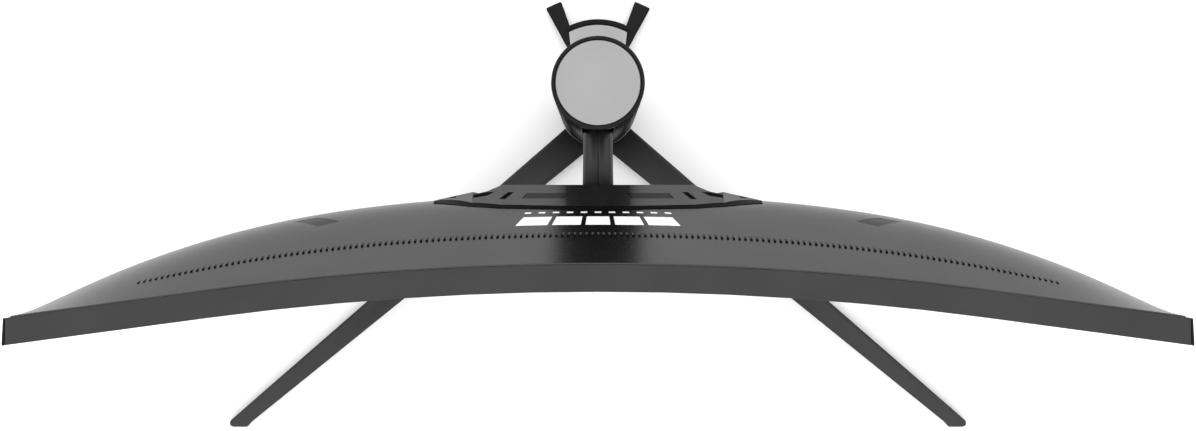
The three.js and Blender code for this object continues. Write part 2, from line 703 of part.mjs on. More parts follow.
// The tongue behind the column: straight sides and a round rear edge of the given radius.
function tongue(halfFront, front, halfRear, radius, z0, z1) {
  const reach = THREE.MathUtils.radToDeg(Math.acos(halfRear / radius));
  const rear = arcPoints(0, TAIL_CENTRE_Y, radius, reach, 180 - reach, 14);
  return prism([[-halfFront, front], [halfFront, front], ...rear], z0, z1);
}

function addBase() {
  const hub = join(
    diskZ(COLUMN_R, BASE_BOTTOM, BASE_TOP, 0, COLUMN_Y, FINE),
    ear(-1),
    ear(1),
    tongue(17, COLUMN_Y, 18, 40, BASE_BOTTOM, BASE_TOP),
  );
  add('base_hub', 'casting', cut(
    hub,
    diskZ(WASHER_R + 0.4, BASE_TOP - 2, BASE_TOP + 5, 0, COLUMN_Y, FINE),
    diskZ(14, 0, 9, 0, COLUMN_Y, FINE),
    diskZ(4.2, 0, 20, 0, COLUMN_Y),
  ));
  const hubSpace = diskZ(COLUMN_R + GAP, 0, 20, 0, COLUMN_Y, FINE);
  const leg = prism(LEG, BASE_BOTTOM, BASE_TOP);
  add('front_leg_left', 'frame', cut(leg, hubSpace));
  add('front_leg_right', 'frame', cut(prism(mirrorX(LEG).reverse(), BASE_BOTTOM, BASE_TOP), hubSpace));
  add('swivel_washer', 'nylon', turnedZ([
    [8, BASE_TOP - 1.7], [WASHER_R, BASE_TOP - 1.7], [WASHER_R, BASE_TOP + 0.1], [8, BASE_TOP + 0.1],
    [8, BASE_TOP - 1.7],
  ], 0, COLUMN_Y));
  add('tail_rim', 'black', cut(
    tongue(19, 96.2, 20, 41.8, BASE_TOP + GAP, BASE_TOP + 3.2),
    tongue(16.8, 98.7, 18.7, 38.4, BASE_TOP + 1.6, BASE_TOP + 5),
  ));
  add('tail_insert', 'bright', tongue(16.5, 99, 18.4, 38.1, BASE_TOP + 1.9, BASE_TOP + 3.4));
  add('clamp_screw', 'steel', turnedZ([
    [0, 3.8], [11, 3.8], [11, 8.6], [3, 8.6], [3, 30], [0, 30],
  ], 0, COLUMN_Y));
  const padX = EAR_PAD_RADIUS * Math.sin(THREE.MathUtils.degToRad((EAR_INNER + EAR_OUTER) / 2));
  const padY = EAR_Y + EAR_PAD_RADIUS * Math.cos(THREE.MathUtils.degToRad((EAR_INNER + EAR_OUTER) / 2));
  const pads = [
    ['foot_pad_front_left', LEG_PAD[0], LEG_PAD[1]],
    ['foot_pad_front_right', -LEG_PAD[0], LEG_PAD[1]],
    ['foot_pad_rear_left', -padX, padY],
    ['foot_pad_rear_right', padX, padY],
  ];
  for (const [name, x, y] of pads) {
    add(name, 'rubber', diskZ(PAD_R, 0, BASE_BOTTOM - GAP, x, y));
  }
}

addDisplay();
addCovers();
addHinge();
addBoards();
addPorts();
addSpeakers();
addControls();
addArm();
addColumn();
addBase();

export default monitor;
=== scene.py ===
import json
import math

import bmesh
import bpy
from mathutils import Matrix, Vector


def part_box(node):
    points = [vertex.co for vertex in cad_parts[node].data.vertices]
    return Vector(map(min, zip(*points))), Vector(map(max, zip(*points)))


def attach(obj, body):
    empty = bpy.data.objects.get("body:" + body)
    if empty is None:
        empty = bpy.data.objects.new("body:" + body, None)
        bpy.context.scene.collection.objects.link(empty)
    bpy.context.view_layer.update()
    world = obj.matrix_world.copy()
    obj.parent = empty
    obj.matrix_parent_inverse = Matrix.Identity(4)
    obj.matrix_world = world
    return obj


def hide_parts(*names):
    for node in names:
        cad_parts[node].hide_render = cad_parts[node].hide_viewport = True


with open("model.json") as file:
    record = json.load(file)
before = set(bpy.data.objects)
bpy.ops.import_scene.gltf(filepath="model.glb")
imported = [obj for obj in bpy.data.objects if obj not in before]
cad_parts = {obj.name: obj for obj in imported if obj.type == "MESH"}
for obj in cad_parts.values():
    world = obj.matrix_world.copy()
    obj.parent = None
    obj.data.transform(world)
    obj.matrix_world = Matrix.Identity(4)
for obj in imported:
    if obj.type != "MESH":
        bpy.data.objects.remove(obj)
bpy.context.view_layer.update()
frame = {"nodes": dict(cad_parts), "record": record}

# ---------------------------------------------------------------- sizes, in metres
MM = 0.001
CURVE_RADIUS = 1.5
ARC_HALF = 0.2  # half the width of the screen's arc; its ends run on straight
COVER_RIM = 0.0007
COVER_BULGE = 0.036
COVER_POWER = 3.6
COVER_WALL = 0.0024
COVER_GAP = 0.05 * MM  # between the frame's rear edge and the cover's inner face
TOP_SLOPE = 0.09
BOTTOM_SLOPE = 0.06

HEAD_LOW, HEAD_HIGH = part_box("mid_frame")
COVER_LOW, COVER_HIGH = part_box("rear_cover")
HOUSING_LOW, HOUSING_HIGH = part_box("housing_cover")
REAR_Y = HEAD_HIGH.y  # the frame's rear edge at the centre
COVER_HALF = COVER_HIGH.x

SLOT_OF = {s["node"]: s["material_slot"] for s in frame["record"]["subparts"]}
BODY_OF = {n: b for b, nodes in frame["record"]["behaviour"]["bodies"].items() for n in nodes}


def sag(x):
    """How far the curve has come forward of its centre at x."""
    inner = min(abs(x), ARC_HALF)
    drop = CURVE_RADIUS - math.sqrt(CURVE_RADIUS**2 - inner**2)
    slope = ARC_HALF / math.sqrt(CURVE_RADIUS**2 - ARC_HALF**2)
    return drop + slope * (abs(x) - inner)


def cover_rise(z):
    """How much of its full bulge the cover has at z, from 0 to 1."""
    top = (HEAD_HIGH.z - z) / TOP_SLOPE
    bottom = (z - HEAD_LOW.z) / BOTTOM_SLOPE
    return math.sin(math.pi / 2 * max(0.0, min(1.0, top, bottom)))


def cover_y(x, z):
    """The rear cover's outer face."""
    fall = 1 - min(1.0, abs(x) / COVER_HALF) ** COVER_POWER
    return REAR_Y - sag(x) + COVER_RIM + (COVER_BULGE - COVER_RIM) * fall * cover_rise(z)


def cover_inner_y(x, z):
    """The rear cover's inner face."""
    return max(REAR_Y - sag(x) + COVER_GAP, cover_y(x, z) - COVER_WALL)


# ---------------------------------------------------------------- materials
# ---------------------------------------------------------------- materials
NOISE_LOW, NOISE_HIGH = 0.3, 0.7  # the range that most of a noise texture's values lie in
CLOUD_SCALE = 35.0
COATED = 0.96  # dark coated finishes are nearly all reflection


def new_material(name):
    """A material, its nodes and its links."""
    material = bpy.data.materials.new(name)
    material.use_nodes = True
    return material, material.node_tree.nodes, material.node_tree.links


def object_noise(nodes, links, scale, detail=2.0, stretch=(1, 1, 1)):
    """Noise that stays with the piece."""
    coord = nodes.new("ShaderNodeTexCoord")
    mapping = nodes.new("ShaderNodeMapping")
    mapping.inputs["Scale"].default_value = stretch
    noise = nodes.new("ShaderNodeTexNoise")
    noise.inputs["Scale"].default_value = scale
    noise.inputs["Detail"].default_value = detail
    links.new(coord.outputs["Object"], mapping.inputs["Vector"])
    links.new(mapping.outputs["Vector"], noise.inputs["Vector"])
    return noise.outputs["Fac"]


def ramp(nodes, links, factor, low, high):
    """A colour that runs from low to high with factor."""
    node = nodes.new("ShaderNodeValToRGB")
    node.color_ramp.elements[0].position = NOISE_LOW
    node.color_ramp.elements[1].position = NOISE_HIGH
    node.color_ramp.elements[0].color = (*low, 1)
    node.color_ramp.elements[1].color = (*high, 1)
    links.new(factor, node.inputs["Fac"])
    return node.outputs["Color"]


def spread(nodes, links, factor, low, high):
    """A number that runs from low to high with factor."""
    node = nodes.new("ShaderNodeMapRange")
    node.inputs["From Min"].default_value = NOISE_LOW
    node.inputs["From Max"].default_value = NOISE_HIGH
    node.inputs["To Min"].default_value = low
    node.inputs["To Max"].default_value = high
    links.new(factor, node.inputs["Value"])
    return node.outputs["Result"]


def bump(nodes, links, height, distance):
    node = nodes.new("ShaderNodeBump")
    node.inputs["Distance"].default_value = distance
    node.inputs["Strength"].default_value = 1.0
    links.new(height, node.inputs["Height"])
    return node.outputs["Normal"]


def scaled(colour, factor):
    return tuple(min(1.0, c * factor) for c in colour)


def surface(name, colour, roughness, metallic=0.0, grain=0.3, depth=0.01, tone=0.12, specular=0.5,
            stretch=(1, 1, 1), edge=1.0):
    """A finish with cloudy tone, uneven gloss and a grain of the given size and depth, in millimetres."""
    material, nodes, links = new_material(name)
    shader = nodes["Principled BSDF"]
    shader.inputs["Metallic"].default_value = metallic
    shader.inputs["Specular IOR Level"].default_value = specular
    shader.inputs["Specular Tint"].default_value = (edge, edge, edge, 1)
    cloud = object_noise(nodes, links, CLOUD_SCALE, 4.0)
    fine = object_noise(nodes, links, 1 / (grain * MM), 2.0, stretch)
    links.new(ramp(nodes, links, cloud, scaled(colour, 1 - tone), scaled(colour, 1 + tone)),
              shader.inputs["Base Color"])
    links.new(spread(nodes, links, fine, roughness * 0.9, roughness * 1.12), shader.inputs["Roughness"])
    links.new(bump(nodes, links, fine, depth * MM), shader.inputs["Normal"])
    return material


def grey(value):
    return (value, value, value)


def glass_material():
    """Anti-glare panel face: near black, with a very fine etched bump."""
    return surface("panel_glass", (0.006, 0.006, 0.008), 0.22, grain=0.12, depth=0.0015, tone=0.05)


BOARD_SCALE = 260  # pads per metre
BOARD_GAP = 0.03  # the tracks' share of a pad


def board_material():
    """Green solder mask with paler copper tracks showing through."""
    material, nodes, links = new_material("circuit_board")
    shader = nodes["Principled BSDF"]
    coord = nodes.new("ShaderNodeTexCoord")
    bricks = nodes.new("ShaderNodeTexBrick")
    bricks.inputs["Scale"].default_value = BOARD_SCALE
    bricks.inputs["Color1"].default_value = (0.010, 0.065, 0.028, 1)
    bricks.inputs["Color2"].default_value = (0.014, 0.080, 0.034, 1)
    bricks.inputs["Mortar"].default_value = (0.030, 0.130, 0.055, 1)
    bricks.inputs["Mortar Size"].default_value = BOARD_GAP
    links.new(coord.outputs["Object"], bricks.inputs["Vector"])
    links.new(bricks.outputs["Color"], shader.inputs["Base Color"])
    shader.inputs["Roughness"].default_value = 0.35
    links.new(bump(nodes, links, bricks.outputs["Fac"], 0.03 * MM), shader.inputs["Normal"])
    return material


MATERIALS = {
    "frame_plastic": surface("frame_plastic", grey(0.078), 0.36, COATED, grain=0.35, depth=0.004, tone=0.06,
                             edge=0.5),
    "cover_plastic": surface("cover_plastic", grey(0.097), 0.26, COATED, grain=0.45, depth=0.004, tone=0.04,
                             edge=0.56),
    "housing_plastic": surface("housing_plastic", grey(0.150), 0.24, COATED, grain=0.4, depth=0.004,
                               tone=0.05, edge=0.6),
    "accent": surface("accent", grey(0.055), 0.30, COATED, grain=0.4, depth=0.004, tone=0.05, edge=0.5),
    "column_plastic": surface("column_plastic", grey(0.030), 0.34, COATED, grain=0.4, depth=0.004, tone=0.06,
                              edge=0.25),
    # A lighter copy of the base's dark paint, for the front legs: painted light.
    "leg_paint_painted_light": surface("leg_paint_painted_light", grey(0.085), 0.40, COATED, grain=0.5, depth=0.006, tone=0.06, edge=0.4),
    "black_plastic": surface("black_plastic", grey(0.006), 0.42, grain=0.3, depth=0.006, specular=0.2),
    # Near-black and nearly matt: painted shade, put in gaps, slots and seams where there is only shade.
    "painted_shade": surface("painted_shade", grey(0.002), 0.7, grain=0.5, depth=0.004, specular=0.05),
    "panel_glass": glass_material(),
    "optical_sheet": surface("optical_sheet", grey(0.80), 0.6, grain=0.2, depth=0.003, tone=0.03),
    "acrylic": surface("acrylic", (0.72, 0.78, 0.80), 0.15, grain=0.6, depth=0.002, tone=0.03),
    "led_board": surface("led_board", grey(0.70), 0.5, grain=0.5, depth=0.01, tone=0.05),
    "pan_aluminium": surface("pan_aluminium", grey(0.52), 0.4, 1.0, grain=0.6, depth=0.008,
                             stretch=(1, 1, 8)),
    "steel": surface("steel", grey(0.42), 0.36, 1.0, grain=0.4, depth=0.01, tone=0.2),
    "circuit_board": board_material(),
    "plated_metal": surface("plated_metal", grey(0.60), 0.25, 1.0, grain=0.3, depth=0.004, tone=0.08),
    "silver_trim": surface("silver_trim", grey(0.49), 0.30, COATED, grain=0.25, depth=0.004, tone=0.03),
    # A lighter copy of the silver trim, for the tail insert: painted light.
    "silver_painted_light": surface("silver_painted_light", grey(0.58), 0.30, COATED, grain=0.25, depth=0.004, tone=0.03),
    "base_paint": surface("base_paint", grey(0.026), 0.42, 0.9, grain=0.5, depth=0.01, tone=0.06, edge=0.2),
    "casting": surface("casting", grey(0.030), 0.45, 0.9, grain=0.6, depth=0.02, edge=0.2),
    "rubber": surface("rubber", grey(0.012), 0.8, grain=0.7, depth=0.05, specular=0.3),
    "nylon": surface("nylon", (0.58, 0.56, 0.50), 0.5, grain=0.5, depth=0.01, tone=0.06),
    "black_screw": surface("black_screw", grey(0.03), 0.35, 1.0, grain=0.3, depth=0.004),
    "white_print": surface("white_print", grey(0.86), 0.45, grain=0.2, depth=0.002, tone=0.03),
}


# ---------------------------------------------------------------- mesh helpers
def make_object(name, vertices, faces):
    mesh = bpy.data.meshes.new(name)
    mesh.from_pydata([tuple(v) for v in vertices], [], faces)
    mesh.validate()
    item = bpy.data.objects.new(name, mesh)
    bpy.context.scene.collection.objects.link(item)
    return item


def smooth(item, angle):
    """Shade smoothly, but for edges sharper than angle, in degrees."""
    mesh = item.data
    mesh.polygons.foreach_set("use_smooth", [True] * len(mesh.polygons))
    mesh.set_sharp_from_angle(angle=math.radians(angle))
    return item


def place(item, body, slot, material=None, nodes=()):
    """Give a piece its finish, and let it ride on its body in place of its CAD nodes."""
    item.data.materials.clear()
    item.data.materials.append(MATERIALS[material or slot])
    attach(item, body)
    if nodes:
        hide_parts(*nodes)
    return item


def sheet(name, inner, outer, xs, zs):
    """A closed sheet between y = inner(x, z) and y = outer(x, z)."""
    rows = len(zs)
    count = len(xs) * rows
    vertices = [(x, face(x, z), z) for face in (inner, outer) for x in xs for z in zs]
    faces = []
    for i in range(len(xs) - 1):
        for j in range(rows - 1):
            a, b, c, d = i * rows + j, (i + 1) * rows + j, (i + 1) * rows + j + 1, i * rows + j + 1
            faces.append((a, b, c, d))
            faces.append((count + a, count + d, count + c, count + b))
    last_x, last_z = (len(xs) - 1) * rows, rows - 1
    for i in range(len(xs) - 1):
        a, b = i * rows, (i + 1) * rows
        faces.append((a, count + a, count + b, b))
        faces.append((a + last_z, b + last_z, count + b + last_z, count + a + last_z))
    for j in range(rows - 1):
        faces.append((j, j + 1, count + j + 1, count + j))
        a = last_x + j
        faces.append((a, count + a, count + a + 1, a + 1))
    return make_object(name, vertices, faces)


def prism_y(outline, y0, y1):
    """Vertices and faces of an outline in the XZ plane, carried from y0 to y1."""
    n = len(outline)
    vertices = [(x, y, z) for y in (y0, y1) for x, z in outline]
    faces = [tuple(range(n)), tuple(range(2 * n - 1, n - 1, -1))]
    faces += [(i, n + i, n + (i + 1) % n, (i + 1) % n) for i in range(n)]
    return vertices, faces


def stack_y(x, z, rings, sides=32):
    """Vertices and faces of a round solid along Y, from [radius in millimetres, y] rings."""
    vertices, faces = [], []
    for radius, y in rings:
        for angle in steps(0, 2 * math.pi, sides)[:-1]:
            vertices.append((x + radius * MM * math.cos(angle), y, z + radius * MM * math.sin(angle)))
    last = (len(rings) - 1) * sides
    faces = [tuple(range(sides)), tuple(range(last + sides - 1, last - 1, -1))]
    for start in range(0, last, sides):
        for i in range(sides):
            a, b = start + i, start + (i + 1) % sides
            faces.append((a, b, b + sides, a + sides))
    return vertices, faces


def many(name, parts):
    """One object from several (vertices, faces) parts, faces turned outwards."""
    vertices, faces = [], []
    for part_vertices, part_faces in parts:
        faces += [tuple(len(vertices) + i for i in face) for face in part_faces]
        vertices += part_vertices
    item = make_object(name, vertices, faces)
    shape = bmesh.new()
    shape.from_mesh(item.data)
    bmesh.ops.recalc_face_normals(shape, faces=shape.faces)
    shape.to_mesh(item.data)
    shape.free()
    return item


def carve(target, cutter, operation="DIFFERENCE"):
    """Cut one object out of another, for good."""
    modifier = target.modifiers.new("cut", "BOOLEAN")
    modifier.object = cutter
    modifier.operation = operation
    modifier.solver = "EXACT"
    bpy.context.view_layer.update()
    graph = bpy.context.evaluated_depsgraph_get()
    mesh = bpy.data.meshes.new_from_object(target.evaluated_get(graph))
    target.modifiers.clear()
    target.data = mesh
    bpy.data.objects.remove(cutter)
    return target


def steps(start, end, count):
    return [start + (end - start) * i / count for i in range(count + 1)]


# ---------------------------------------------------------------- CAD pieces with finished edges
CREASE_DEGREES = 35  # edges above this angle stay sharp in the shading
BEVEL_DEGREES = 30  # edges above this angle are rounded
BEVEL_SEGMENTS = 2
MERGE_DISTANCE = 0.002 * MM
FLAT_DEGREES = 0.4  # neighbouring faces within this angle become one


def refine(node, width, material=None, crease=CREASE_DEGREES, shortest=0.0):
    """The CAD node's own shape, with its flat faces made whole and its longer edges rounded."""
    source = frame["nodes"][node]
    shape = bmesh.new()
    shape.from_mesh(source.data)
    bmesh.ops.remove_doubles(shape, verts=shape.verts, dist=MERGE_DISTANCE)
    bmesh.ops.dissolve_limit(shape, angle_limit=math.radians(FLAT_DEGREES), verts=shape.verts,
                             edges=shape.edges)
    if width:
        edges = [e for e in shape.edges if len(e.link_faces) == 2
                 and e.calc_face_angle(0) > math.radians(BEVEL_DEGREES) and e.calc_length() > shortest * MM]
        bmesh.ops.bevel(shape, geom=edges, offset=width * MM, segments=BEVEL_SEGMENTS, profile=0.5,
                        affect="EDGES", clamp_overlap=True, loop_slide=True)
    mesh = bpy.data.meshes.new(node + "_body")
    shape.to_mesh(mesh)
    shape.free()
    item = bpy.data.objects.new(node + "_body", mesh)
    bpy.context.scene.collection.objects.link(item)
    smooth(item, crease)
    return place(item, BODY_OF[node], SLOT_OF[node], material, [node])


EDGE_WIDTHS = {  # how far each piece's edges are rounded, in millimetres
    "mid_frame": 0.35,
    "side_trim_left": 0.2,
    "side_trim_right": 0.2,
    "front_bezel": 0.25,
    "bottom_bezel": 0.25,
    "housing_cover": 0.3,
    "connector_bay": 0.3,
    "arm_shell_left": 0.3,
    "arm_shell_right": 0.3,
    "column_front": 0.5,
    "column_rear": 0.5,
    "column_cap_ring": 0.25,
    "column_cap": 0.2,
    "column_foot": 0.5,
    "base_hub": 0.9,
    "front_leg_left": 1.1,
    "front_leg_right": 1.1,
    "tail_rim": 0.4,
    "release_button": 0.5,
    "stick_cap": 0.2,
    "foot_pad_front_left": 0.4,
    "foot_pad_front_right": 0.4,
    "foot_pad_rear_left": 0.4,
    "foot_pad_rear_right": 0.4,
}
PLAIN_EDGE = 0.12  # for all other pieces
REBUILT = {"rear_cover", "tail_insert"}  # made anew below
FACETED = {"housing_cover": 2}  # creases above this many degrees stay sharp
SHORTEST = {"housing_cover": 6}  # edges up to this long, in millimetres, stay sharp
FINISHES = {
    "column_front": "column_plastic",
    "column_rear": "column_plastic",
    # The front legs take a lighter copy of the base paint: painted light.
    "front_leg_left": "leg_paint_painted_light",
    "front_leg_right": "leg_paint_painted_light",
}


def finish_cad_nodes():
    """Every CAD piece but the rebuilt ones, refined."""
    for node in sorted(frame["nodes"]):
        if node not in REBUILT:
            crease = FACETED.get(node, CREASE_DEGREES)
            refine(node, EDGE_WIDTHS.get(node, PLAIN_EDGE), material=FINISHES.get(node), crease=crease,
                   shortest=SHORTEST.get(node, 0.0))


# ---------------------------------------------------------------- rear cover
VENT_COUNT = 157
VENT_PITCH = 3.055 * MM
VENT_Z = 0.4555
VENT_HALF_WIDTH = 0.6 * MM
VENT_HALF_HEIGHT = 1.9 * MM
VENT_LEAN = 0.3 * MM
VENT_CUT_BACK, VENT_CUT_FRONT = -6 * MM, 4 * MM  # from the cover's face
# Near-black plugs set just under the face of each vent: painted shade inside the slots.
VENT_SHADE_BACK, VENT_SHADE_FRONT = -2.3 * MM, -0.2 * MM


def vent_row(name, back, front):
    """Slanted slots along the top of the cover, mirrored about the middle, from back to front."""
    parts = []
    for i in range(VENT_COUNT):
        x = (i - VENT_COUNT // 2) * VENT_PITCH
        lean = -VENT_LEAN * (1 if x > 0 else -1)
        outline = [
            (x - VENT_HALF_WIDTH - lean, VENT_Z + VENT_HALF_HEIGHT),
            (x + VENT_HALF_WIDTH - lean, VENT_Z + VENT_HALF_HEIGHT),
            (x + VENT_HALF_WIDTH + lean, VENT_Z - VENT_HALF_HEIGHT),
            (x - VENT_HALF_WIDTH + lean, VENT_Z - VENT_HALF_HEIGHT),
        ]
        y = cover_y(x, VENT_Z)
        parts.append(prism_y(outline, y + back, y + front))
    return many(name, parts)


def hull_2d(points):
    """The convex outline of flat points, anticlockwise."""
    points = sorted(set(points))
    sides = []
    for ordered in (points, points[::-1]):
        side = []
        for p in ordered:
            while len(side) > 1 and ((side[-1][0] - side[-2][0]) * (p[1] - side[-2][1])
                                     <= (side[-1][1] - side[-2][1]) * (p[0] - side[-2][0])):
                side.pop()
            side.append(p)
        sides.append(side[:-1])
    return sides[0] + sides[1]


SHADOW_GAP_BAND = 1.7 * MM  # how far the painted shadow gap shows in front of the housing, seen from above
SHADOW_GAP_MARGIN = 1.5 * MM  # how far it shows elsewhere
SHADOW_GAP_RISE, SHADOW_GAP_THICKNESS = 0.24 * MM, 0.22 * MM
TOUCHING = 0.4 * MM  # the housing's corners this near the cover make its footprint


def cover_z(x, y):
    """The height at which the cover's top slope passes through (x, y)."""
    fall = 1 - (abs(x) / COVER_HALF) ** COVER_POWER
    rise = (y - (REAR_Y - sag(x) + COVER_RIM)) / ((COVER_BULGE - COVER_RIM) * fall)
    return HEAD_HIGH.z - TOP_SLOPE * math.asin(max(0.0, min(1.0, rise))) * 2 / math.pi


def shadow_gap_outline():
    """The housing's footprint on the cover, with a margin round it: the outline of the painted shadow gap."""
    corners = [v.co for v in frame["nodes"]["housing_cover"].data.vertices]
    foot = hull_2d([(round(c.x, 5), round(c.z, 5)) for c in corners if c.y - cover_y(c.x, c.z) < TOUCHING])
    middle = (HOUSING_LOW.z + HOUSING_HIGH.z) / 2
    outline = []
    for x, z in foot:
        if z > middle:
            z = max(z + SHADOW_GAP_MARGIN, cover_z(x, cover_y(x, z) - SHADOW_GAP_BAND))
        else:
            z -= SHADOW_GAP_MARGIN
        share = min(1.0, abs(x) / (0.9 * HOUSING_HIGH.x))  # of the sideways margin, none in the middle
        outline.append((x + math.copysign(SHADOW_GAP_MARGIN, x) * share, z))
    return hull_2d(outline)


# A flat accent on each side of the slope: four corners, from the outermost one round by the front.
DIAMOND = [(161.4, 410.0), (147.4, 427.6), (136.2, 424.4), (149.0, 409.6)]
DIAMOND_CENTRE = (148.5, 418.0)


ACCENT_OVERLAP = 0.01  # how much larger an accent is than its hole, as a share


def diamond_outline(side, grow=0.0):
    """The accent's outline on one side (1 or -1), larger by the given share."""
    return [(side * (x + grow * (x - DIAMOND_CENTRE[0])) * MM, (z + grow * (z - DIAMOND_CENTRE[1])) * MM)
            for x, z in DIAMOND]


CUT_REACH = 0.06  # cutters along Y run this far on both sides of the XZ plane
STICK_HOLE_RADIUS = 8.5 * MM
BAY_OPENING = [(-0.12, 0.128), (0.12, 0.128), (0.12, 0.19), (-0.12, 0.19)]
# The opening behind the housing that the hinge reaches through.
HINGE_OPENING = [(-0.044, 0.222), (0.044, 0.222), (0.044, 0.402), (-0.044, 0.402)]


def build_rear_cover():
    """The cover as one closed shell on a fine grid, closer over its slopes, with its vents and openings."""
    xs = steps(-COVER_HALF, COVER_HALF, 150)
    zs = steps(COVER_LOW.z, HEAD_LOW.z + BOTTOM_SLOPE, 16)
    zs += steps(HEAD_LOW.z + BOTTOM_SLOPE, HEAD_HIGH.z - TOP_SLOPE, 24)[1:]
    zs += steps(HEAD_HIGH.z - TOP_SLOPE, COVER_HIGH.z, 28)[1:]
    cover = sheet("rear_cover_body", cover_inner_y, cover_y, xs, zs)
    carve(cover, vent_row("vent_cutter", VENT_CUT_BACK, VENT_CUT_FRONT))
    stick_low, stick_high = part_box("stick_cap")
    stick_x, stick_z = (stick_low.x + stick_high.x) / 2, (stick_low.z + stick_high.z) / 2
    stick_hole = [(stick_x + STICK_HOLE_RADIUS * math.cos(a), stick_z + STICK_HOLE_RADIUS * math.sin(a))
                  for a in steps(0, 2 * math.pi, 48)[:-1]]
    holes = [prism_y(outline, -CUT_REACH, CUT_REACH)
             for outline in (BAY_OPENING, HINGE_OPENING, stick_hole, diamond_outline(1), diamond_outline(-1))]
    carve(cover, many("hole_cutter", holes))
    smooth(cover, 30)
    place(cover, "head", "cover_plastic", nodes=["rear_cover"])


PANEL_CELL = 4 * MM
ACCENT_DEPTH, ACCENT_THICKNESS = 0.12 * MM, 0.8 * MM


def panel_behind(name, outline, depth, thickness, slot, material=None, opening=None):
    """A sheet that follows the cover, set in by depth, within an outline and round an opening."""
    xs = [x for x, _ in outline]
    zs = [z for _, z in outline]
    wide = max(2, int((max(xs) - min(xs)) / PANEL_CELL))
    tall = max(2, int((max(zs) - min(zs)) / PANEL_CELL))
    item = sheet(
        name,
        lambda x, z: cover_y(x, z) - depth - thickness,
        lambda x, z: cover_y(x, z) - depth,
        steps(min(xs), max(xs), wide),
        steps(min(zs), max(zs), tall),
    )
    carve(item, many("outline_cutter", [prism_y(outline, -CUT_REACH, CUT_REACH)]), "INTERSECT")
    if opening:
        carve(item, many("opening_cutter", [prism_y(opening, -CUT_REACH, CUT_REACH)]))
    smooth(item, 30)
    return place(item, "head", slot, material)


def build_cover_details():
    # A near-black sheet just proud of the cover round the housing: painted shadow in the gap under the
    # housing's edge.
    panel_behind("housing_shadow_gap", shadow_gap_outline(), -SHADOW_GAP_RISE, SHADOW_GAP_THICKNESS, "black_plastic", "painted_shade",
                 HINGE_OPENING)
    for side, name in ((-1, "accent_left"), (1, "accent_right")):
        panel_behind(name, diamond_outline(side, ACCENT_OVERLAP), ACCENT_DEPTH, ACCENT_THICKNESS,
                     "cover_plastic", "accent")
    # Near-black plugs in the vents: painted shade inside them.
    vent_shade_plugs = vent_row("vent_painted_shade", VENT_SHADE_BACK, VENT_SHADE_FRONT)
    place(vent_shade_plugs, "head", "black_plastic", "painted_shade")
    build_housing_inlays()
    build_cover_screws()
    build_speaker_grilles()


# The sum of y and z on the housing's sloping top wall, at stations of |x|, in millimetres.
WALL_SUM = [(0, 429.3), (17, 428.81), (34, 427.34), (51, 424.9), (59, 421.9), (66.7, 419.35), (86, 399.5)]
SLOT_STATIONS = [(14.5, 17), (17, 34), (34, 42), (44, 51), (51, 53)]  # spans of |x| that the plates of painted shade cover
SLOT_FRONT, SLOT_BACK = 8.2, 12.8
# Near-black plates just under the wall in its slots: painted shade.
SLOT_SHADE_LIFT, SLOT_SHADE_THICKNESS = -0.35, 0.6
# Near-black patches lying on the wings along their rear edges: painted shade.
SHADE_PATCH_LIFT, SHADE_PATCH_THICKNESS = 0.08, 0.3
WING_SHADE_PATCHES = [
    [(67.2, 12.1), (67.2, 10.4), (72.5, 9.9), (79.5, 9.25), (79.5, 9.6)],
    [(55.0, 12.6), (59.0, 10.6), (66.4, 9.6), (66.4, 11.0), (59.0, 12.4)],
]


def wall_sum(x):
    """The sum of y and z on the wall at x."""
    x = abs(x)
    for (x0, sum0), (x1, sum1) in zip(WALL_SUM, WALL_SUM[1:]):
        if x <= x1:
            break
    return sum0 + (sum1 - sum0) * (x - x0) / (x1 - x0)


def wall_inlay(name, outlines, lift, thickness):
    """Plates that lie along the housing's top wall, from outlines in plan, in millimetres."""
    parts = []
    for outline in outlines:
        n = len(outline)
        vertices = [(x * MM, y * MM, (wall_sum(x) - y + level) * MM) for level in (lift, lift - thickness)
                    for x, y in outline]
        faces = [tuple(range(n)), tuple(range(2 * n - 1, n - 1, -1))]
        faces += [(i, n + i, n + (i + 1) % n, (i + 1) % n) for i in range(n)]
        parts.append((vertices, faces))
    place(many(name, parts), "head", "black_plastic", "painted_shade")


def build_housing_inlays():
    """Near-black plates as painted shade, in the top wall's slots and recesses and along the wings' rear
    edges.
    """
    for side, name in ((-1, "left"), (1, "right")):
        strips = []
        for x0, x1 in SLOT_STATIONS:
            corners = ((x0, SLOT_FRONT), (x1, SLOT_FRONT), (x1, SLOT_BACK), (x0, SLOT_BACK))
            strips.append([(side * x, y) for x, y in corners])
        wall_inlay(f"slot_painted_shade_{name}", strips, SLOT_SHADE_LIFT, SLOT_SHADE_THICKNESS)
        patches = [[(side * x, y) for x, y in patch] for patch in WING_SHADE_PATCHES]
        wall_inlay(f"wing_painted_shade_{name}", patches, SHADE_PATCH_LIFT, SHADE_PATCH_THICKNESS)


COVER_SCREWS = [(-0.262, 0.150), (0.262, 0.150), (-0.262, 0.300), (0.262, 0.300)]
SCREW_RADIUS, SCREW_TOP_RADIUS = 2.9, 2.6  # millimetres
SCREW_RISE, SCREW_SINK = 0.24 * MM, 1.2 * MM
CROSS_LONG, CROSS_SHORT = 1.7, 0.35  # half of each arm's length and width, in millimetres
CROSS_DEPTH, CROSS_TOP = 0.8 * MM, 1 * MM


